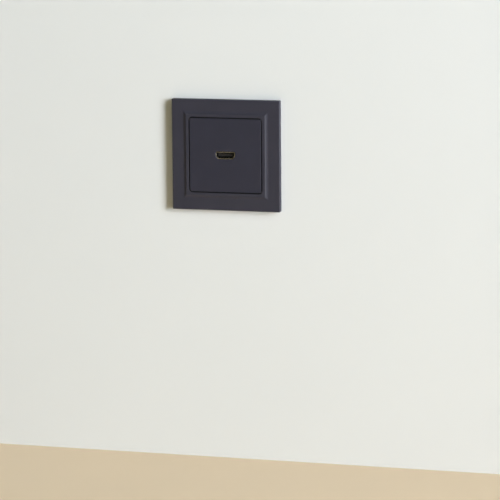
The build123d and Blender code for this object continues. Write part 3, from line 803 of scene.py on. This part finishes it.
class SOCKET_OT_ejector_marks(bpy.types.Operator):
    """Add the round marks that ejector pins leave in the frame's back and on the back cover"""

    bl_idname = "wall_socket.ejector_marks"
    bl_label = "Ejector marks"

    def execute(self, context):
        radius = context.scene.socket_details.mark_radius / MM
        # Heights and widths in millimetres. A height below zero stands proud of the moulding's back.
        floor, lip, foot = -0.02, -0.06, 0.05
        lip_width, lip_slope = 0.15, 0.05
        rim = [
            (0.0, floor),
            (radius - lip_width - lip_slope, floor),
            (radius - lip_width, lip),
            (radius, lip),
            (radius, foot),
            (0.0, foot),
        ]
        # The frame's marks stand in its pocket, just inside the middle between the ring's edge and its own.
        shift, pocket_depth = 0.4 * MM, 3.1 * MM
        inside = (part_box("support_ring")[1].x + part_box("cover_frame")[1].x) / 2 - shift
        row = [along * MM for along in (-31, -18, 0, 18, 31)]
        places = [(sign * inside, -pocket_depth, z) for sign in (-1, 1) for z in row]
        places += [(x, -pocket_depth, sign * inside) for sign in (-1, 1) for x in row]
        values = {"Segments": 32, "Material": frame_anthracite()}
        marks = grown("frame_ejector_marks", turned_pieces(), rim, places, values)
        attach(marks, "socket")
        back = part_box("back_cover")[1].y
        pins = ((-12.0, -9.5), (12.0, -9.5), (0.0, 9.5), (0.0, -1.0))
        places = [(x * MM, back, z * MM) for x, z in pins]
        values = {"Segments": 32, "Material": insert_grey()}
        marks = grown("cover_ejector_marks", turned_pieces(), rim, places, values)
        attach(marks, "socket")
        return {"FINISHED"}


class SOCKET_OT_support_ring(bpy.types.Operator):
    """Finish the sheet-steel support ring in zinc"""

    bl_idname = "wall_socket.support_ring"
    bl_label = "Support ring"

    def execute(self, context):
        coat(zinc(), "support_ring")
        return {"FINISHED"}


class SOCKET_OT_rivets(bpy.types.Operator):
    """Turn the four rivets, with domed heads in place of the plain ones"""

    bl_idname = "wall_socket.rivets"
    bl_label = "Rivets"

    def execute(self, context):
        detail = context.scene.socket_details
        back, front = out_of_wall("rivets")
        # The radii of a head and of the shank, and a head's height, in millimetres.
        head, shank, rim = 2.2, 1.25, 0.7
        dome, steps = detail.rivet_dome / MM, 8
        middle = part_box("rivets")[1].x - head * MM
        places = [(x * middle, 0.0, z * middle) for x in (-1, 1) for z in (-1, 1)]
        edge = rim - dome
        angles = [math.pi / 2 * i / steps for i in range(steps + 1)]
        swell = [(head * math.cos(a), edge + dome * math.sin(a)) for a in angles]
        upper = [(r, front - rim + h) for r, h in swell]
        lower = [(r, back + rim - h) for r, h in reversed(swell)]
        neck = [(head, back + rim), (shank, back + rim), (shank, front - rim), (head, front - rim)]
        profile = lower + neck + upper
        values = {"Segments": detail.segments, "Material": aluminium()}
        piece = grown("turned_rivets", turned_pieces(), profile, places, values)
        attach(piece, "socket")
        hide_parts("rivets")
        return {"FINISHED"}


class SOCKET_OT_cover_screws(bpy.types.Operator):
    """Turn the two cover screws, with a coarse thread, a point and a cross recess"""

    bl_idname = "wall_socket.cover_screws"
    bl_label = "Cover screws"

    def execute(self, context):
        detail = context.scene.socket_details
        back, front = out_of_wall("cover_screws")
        low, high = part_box("cover_screws")
        # The head's radius, height and rounded edge, and its recess, in millimetres.
        head, rim, curve = 2.1, 1.3, 0.25
        cross_depth, cross_reach = 0.8, 2.5
        # The thread's outer radius, and the lengths of the plain neck, its slope, the point and the bare end.
        crest, plain, fade, point, bare_end = 1.1, 0.6, 0.3, 0.7, 0.3
        # How far under the core's surface the ridge begins.
        ridge_sink = 0.05
        root = crest - detail.cover_thread_depth / MM
        tip = 0.45 * root
        neck = back + rim
        profile = [
            (0.0, back),
            *arc((head - curve, back + curve), curve, -90, 0, 4),
            (head, neck),
            (crest, neck),
            (crest, neck + plain),
            (root, neck + plain + fade),
            (root, front - point),
            (tip, front),
            (0.0, front),
        ]
        middle = (high.x - head * MM, (low.z + high.z) / 2)
        values = {
            "Segments": detail.segments,
            "Thread Start": (neck + plain) * MM,
            "Thread End": (front - bare_end) * MM,
            "Pitch": detail.cover_pitch,
            "Root Radius": (root - ridge_sink) * MM,
            "Crest Radius": crest * MM,
            "Recess Face": back * MM,
            "Recess Depth": cross_depth * MM,
            "Recess Reach": cross_reach * MM,
            "Recess Width": CROSS_WIDTH * MM,
            "Material": zinc(),
        }
        places = [(sign * middle[0], 0.0, middle[1]) for sign in (-1, 1)]
        piece = grown("threaded_cover_screws", threaded_screws(), profile, places, values)
        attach(piece, "socket")
        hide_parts("cover_screws")
        return {"FINISHED"}


class SOCKET_OT_claw_screws(bpy.types.Operator):
    """Turn the two claw screws, with a full thread, a rounded head and a cross recess"""

    bl_idname = "wall_socket.claw_screws"
    bl_label = "Claw screws"

    def execute(self, context):
        detail = context.scene.socket_details
        # The head's radius, height and rounded edge, and its recess, in millimetres.
        head, rim, curve = 2.75, 1.9, 0.75
        cross_depth, cross_reach = 1.1, 3.2
        # The thread's outer radius, and the lengths of the plain neck, its slope and the bare end.
        crest, plain, fade, bare_end = 1.5, 1.3, 0.3, 0.3
        # The end's radius and the length of its cone.
        tip, point = 0.9, 0.4
        # How far under the core's surface the ridge begins.
        ridge_sink = 0.04
        root = crest - detail.claw_thread_depth / MM
        for side in SIDES:
            name = f"claw_screw_{side}"
            back, front = out_of_wall(name)
            low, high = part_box(name)
            neck = front - rim
            profile = [
                (0.0, back),
                (tip, back),
                (root, back + point),
                (root, neck - plain - fade),
                (crest, neck - plain),
                (crest, neck),
                (head, neck),
                *arc((head - curve, front - curve), curve, 0, 90),
                (0.0, front),
            ]
            values = {
                "Segments": detail.segments,
                "Thread Start": (back + bare_end) * MM,
                "Thread End": (neck - plain) * MM,
                "Pitch": detail.claw_pitch,
                "Root Radius": (root - ridge_sink) * MM,
                "Crest Radius": crest * MM,
                "Recess Face": front * MM,
                "Recess Depth": cross_depth * MM,
                "Recess Reach": cross_reach * MM,
                "Recess Width": CROSS_WIDTH * MM,
                "Material": zinc(),
            }
            places = [((low.x + high.x) / 2, 0.0, (low.z + high.z) / 2)]
            piece = grown(f"threaded_claw_screw_{side}", threaded_screws(), profile, places, values)
            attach(piece, f"{side}_claw_screw")
            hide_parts(name)
        return {"FINISHED"}


class SOCKET_OT_claws(bpy.types.Operator):
    """Finish the claws and their square nuts in zinc"""

    bl_idname = "wall_socket.claws"
    bl_label = "Claws and nuts"

    def execute(self, context):
        coat(zinc(), "claw_left", "claw_right", "claw_nut_left", "claw_nut_right")
        return {"FINISHED"}


class SOCKET_OT_circuit_board(bpy.types.Operator):
    """Finish the circuit board and add a solder joint at every leg of the ports' shells"""

    bl_idname = "wall_socket.circuit_board"
    bl_label = "Circuit board"

    def execute(self, context):
        finish = context.scene.socket_finishes
        coat(board_lacquer("board", tuple(finish.lacquer)), "circuit_board")
        low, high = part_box("circuit_board")
        # The shells' sheet, and where the rear port's legs stand over its mouth.
        shell_wall, leg_setback, leg_spacing = 0.35 * MM, 2.9 * MM, 6.3 * MM
        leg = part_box("front_port_shell")[1].x - shell_wall / 2
        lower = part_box("rear_port_shell")[0].z + leg_setback
        cone = [(0.0, -0.05), (0.75, -0.05), (0.6, 0.08), (0.4, 0.25), (0.3, 0.5), (0.0, 0.55)]
        values = {"Segments": 20, "Material": solder()}
        places = [(sign * leg, low.y, z) for sign in (-1, 1) for z in (lower, lower + leg_spacing)]
        front = grown("front_solder_joints", turned_pieces(), cone, places, values)
        places = [(sign * leg, high.y, 0.0) for sign in (-1, 1)]
        back = grown("rear_solder_joints", turned_pieces(), [(r, -h) for r, h in cone], places, values)
        for piece in (front, back):
            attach(piece, "socket")
        return {"FINISHED"}


class SOCKET_OT_ports(bpy.types.Operator):
    """Finish both ports: nickel shells, black insulators and gilt contacts"""

    bl_idname = "wall_socket.ports"
    bl_label = "Ports"

    def execute(self, context):
        coat(nickel(), "front_port_shell", "rear_port_shell")
        coat(insulator_black(), "front_port_insulator", "rear_port_insulator")
        coat(gilt(), "front_port_contacts", "rear_port_contacts")
        return {"FINISHED"}


def sheet(name, faces, material, origin, across, along):
    """A flat one-sided backdrop, whose faces' corners are given from an origin in two directions."""
    made = bmesh.new()
    for corners in faces:
        made.faces.new([made.verts.new(origin + across * a + along * b) for a, b in corners])
    mesh = bpy.data.meshes.new(name)
    made.to_mesh(mesh)
    made.free()
    mesh.materials.append(material)
    piece = bpy.data.objects.new(name, mesh)
    bpy.context.scene.collection.objects.link(piece)


def lamp(name, place, size, spread, power, tint):
    """A soft light, as wide and tall as size says, that looks at the origin and isn't seen itself."""
    data = bpy.data.lights.new(name, "AREA")
    data.shape = "RECTANGLE"
    data.size, data.size_y = size
    data.spread = math.radians(spread)
    data.energy = power
    data.color = tint
    made = bpy.data.objects.new(name, data)
    made.location = place
    made.rotation_euler = Vector(place).to_track_quat("Z", "Y").to_euler()
    made.visible_camera = False
    bpy.context.scene.collection.objects.link(made)


def studio(stage):
    """Light in front of the wall and behind it, stronger from above, and a plain backdrop past the stage."""
    world = bpy.data.worlds.new("studio")
    world.use_nodes = True
    tree = world.node_tree
    fill = next(n for n in tree.nodes if n.type == "BACKGROUND")
    way = tree.nodes.new("ShaderNodeTexCoord").outputs["Generated"]
    across = parts(tree, way)
    height = ranged(tree, stretched(tree, across[2], -0.6, 0.8), 0.25, 1.45)
    behind = stretched(tree, across[1], -0.05, 0.15)
    level = ranged(tree, behind, stage.fill, stage.rear_fill)
    tree.links.new(maths(tree, "MULTIPLY", level, height), fill.inputs["Strength"])
    tree.links.new(mixed(tree, behind, tuple(stage.fill_tint), WHITE), fill.inputs["Color"])
    pale = node(tree, "ShaderNodeBackground", {"Color": (*stage.backdrop, 1.0), "Strength": 1.0})
    seen = tree.nodes.new("ShaderNodeLightPath").outputs["Is Camera Ray"]
    mix = node(tree, "ShaderNodeMixShader", {0: seen, 1: fill.outputs[0], 2: pale.outputs[0]})
    target = next(n for n in tree.nodes if n.type == "OUTPUT_WORLD")
    tree.links.new(mix.outputs[0], target.inputs["Surface"])
    return world


def set_backdrop(stage):
    """A wall with a hole for the insert under the frame, and a floor on both sides of it."""
    level, up, inwards = Vector((1, 0, 0)), Vector((0, 0, 1)), Vector((0, 1, 0))
    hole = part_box("cover_frame")[1].x - HOLE_MARGIN
    cut = hole - HOLE_CORNER
    edge = [(STAGE_REACH * x, WALL_TOP if z > 0 else stage.floor_height) for x, z in CORNERS]
    inner = [[(x * hole, z * cut), (x * cut, z * hole)][:: x * z] for x, z in CORNERS]
    wall = []
    for i, j in ((0, 1), (1, 2), (2, 3), (3, 0)):
        wall.append([edge[i], edge[j], inner[j][0], inner[i][1]])
        wall.append([edge[i], inner[i][1], inner[i][0]])
    wall_paint = plain_paint("wall_paint", tuple(stage.wall))
    sheet("wall_backdrop", wall, wall_paint, inwards * WALL_SETBACK, level, up)
    floor_paint = plain_paint("floor_paint", tuple(stage.floor))
    for name, sign, paint in (("floor", -1, floor_paint), ("rear_floor", 1, wall_paint)):
        ground = [(STAGE_REACH * x, STAGE_REACH * (y + sign) / 2) for x, y in CORNERS]
        sheet(name, [ground], paint, up * stage.floor_height, level, inwards)


def set_lights(stage):
    """A tall key light from the right in front of the wall, and two broad lights behind it."""
    key_way, key_distance = Vector((1.75, -1.0, 0.25)).normalized(), 4.0
    rear_imbalance = 0.3
    lamp(
        "key_light",
        place=key_way * key_distance,
        size=(1.3, 4.6),
        spread=70,
        power=stage.key,
        tint=stage.key_tint,
    )
    for side, sign in SIDES.items():
        lamp(
            f"rear_light_{side}",
            place=(sign * 1.2, 1.5, 1.1),
            size=(3.0, 3.0),
            spread=120,
            power=stage.rear * (1.0 + rear_imbalance * sign),
            tint=WHITE,
        )


def set_camera(stage):
    """The camera at its place, turned by its yaw, pitch and roll."""
    data = bpy.data.cameras.new("camera")
    data.lens = stage.lens
    data.sensor_width = SENSOR_WIDTH
    camera = bpy.data.objects.new("camera", data)
    back = Vector(
        (
            math.sin(stage.yaw) * math.cos(stage.pitch),
            -math.cos(stage.yaw) * math.cos(stage.pitch),
            math.sin(stage.pitch),
        )
    )
    right = Vector((0, 0, 1)).cross(back).normalized()
    turned = Matrix((right, back.cross(right), back)).transposed() @ Matrix.Rotation(-stage.roll, 3, "Z")
    camera.matrix_world = Matrix.Translation(stage.camera_place) @ turned.to_4x4()
    bpy.context.scene.collection.objects.link(camera)
    return camera


class SOCKET_OT_stage(bpy.types.Operator):
    """Set up the plain wall and floor, the soft lights and the camera"""

    bl_idname = "wall_socket.stage"
    bl_label = "Stage"

    def execute(self, context):
        scene = context.scene
        stage = scene.socket_stage
        set_backdrop(stage)
        set_lights(stage)
        scene.world = studio(stage)
        scene.view_settings.view_transform = "Standard"
        scene.camera = set_camera(stage)
        return {"FINISHED"}


STEPS = (
    SOCKET_OT_stage,
    SOCKET_OT_mouldings,
    SOCKET_OT_insert,
    SOCKET_OT_ejector_marks,
    SOCKET_OT_support_ring,
    SOCKET_OT_rivets,
    SOCKET_OT_cover_screws,
    SOCKET_OT_claw_screws,
    SOCKET_OT_claws,
    SOCKET_OT_circuit_board,
    SOCKET_OT_ports,
)


class SOCKET_PT_looks(bpy.types.Panel):
    """Steps and settings of the wall socket's looks"""

    bl_idname = "SOCKET_PT_looks"
    bl_label = "Wall socket"
    bl_space_type = "VIEW_3D"
    bl_region_type = "UI"
    bl_category = "Wall socket"

    def draw(self, context):
        for step in STEPS:
            self.layout.operator(step.bl_idname)
        scene = context.scene
        for settings in (scene.socket_finishes, scene.socket_details, scene.socket_stage):
            for name in settings.__annotations__:
                self.layout.prop(settings, name)


CLASSES = (SocketFinishes, SocketDetails, SocketStage, *STEPS, SOCKET_PT_looks)


def register():
    """Make the classes and the scene's settings known to Blender."""
    for kind in CLASSES:
        bpy.utils.register_class(kind)
    bpy.types.Scene.socket_finishes = PointerProperty(type=SocketFinishes)
    bpy.types.Scene.socket_details = PointerProperty(type=SocketDetails)
    bpy.types.Scene.socket_stage = PointerProperty(type=SocketStage)


def unregister():
    """Take the classes and the settings away again."""
    for name in ("socket_finishes", "socket_details", "socket_stage"):
        delattr(bpy.types.Scene, name)
    for kind in reversed(CLASSES):
        bpy.utils.unregister_class(kind)


def main():
    """Run every step in order, then write the sizes of the packed and the dressed model."""
    register()
    for step in STEPS:
        group, name = step.bl_idname.split(".")
        getattr(getattr(bpy.ops, group), name)()


if __name__ == "__main__":
    main()
